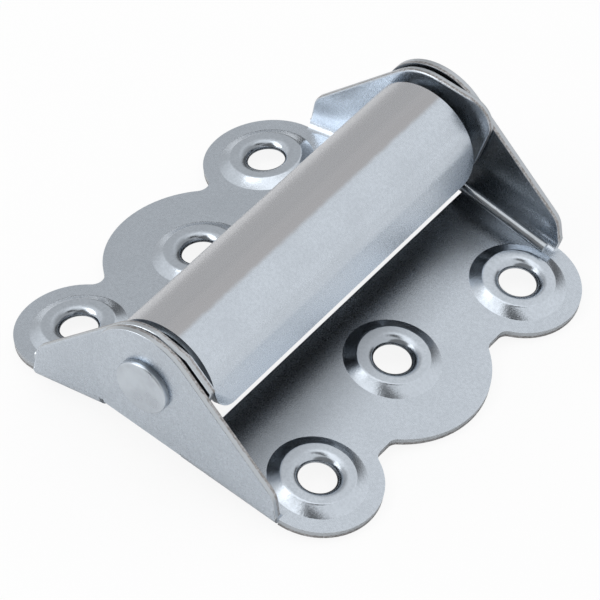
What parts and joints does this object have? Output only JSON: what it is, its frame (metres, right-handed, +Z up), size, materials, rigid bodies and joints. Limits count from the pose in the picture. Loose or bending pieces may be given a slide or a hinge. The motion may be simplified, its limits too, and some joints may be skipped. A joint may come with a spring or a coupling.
{
  "type": "self-closing screen door hinge",
  "caption": "Self-closing screen door hinge: pressed leaves with raised screw holes, folded ears, riveted pin and a covered torsion spring.",
  "frame": {"origin": "centre of the bounding box's bottom face, under the middle of the pin", "axes": "+Y along the hinge pin, +X towards the front leaf, +Z up from the table to the barrel"},
  "size_m": [0.063, 0.0718, 0.025],
  "materials": {
    "zinc_plate": "satin",
    "rivet_steel": "satin",
    "spring_wire": "satin"
  },
  "bodies": {
    "back_leaf_body": {"back_leaf": "zinc_plate", "torsion_spring": "spring_wire"},
    "front_leaf_body": {"front_leaf": "zinc_plate", "hinge_pin": "rivet_steel"}
  },
  "joints": [
    {"name": "hinge", "type": "hinge", "parent": "back_leaf_body", "child": "front_leaf_body", "pos_m": [0, 0, 0.01574], "axis": [0, -1, 0], "range_deg": [0, 180], "stiffness_Nm_per_rad": 0.12, "deforming": ["torsion_spring"]}
  ]
}
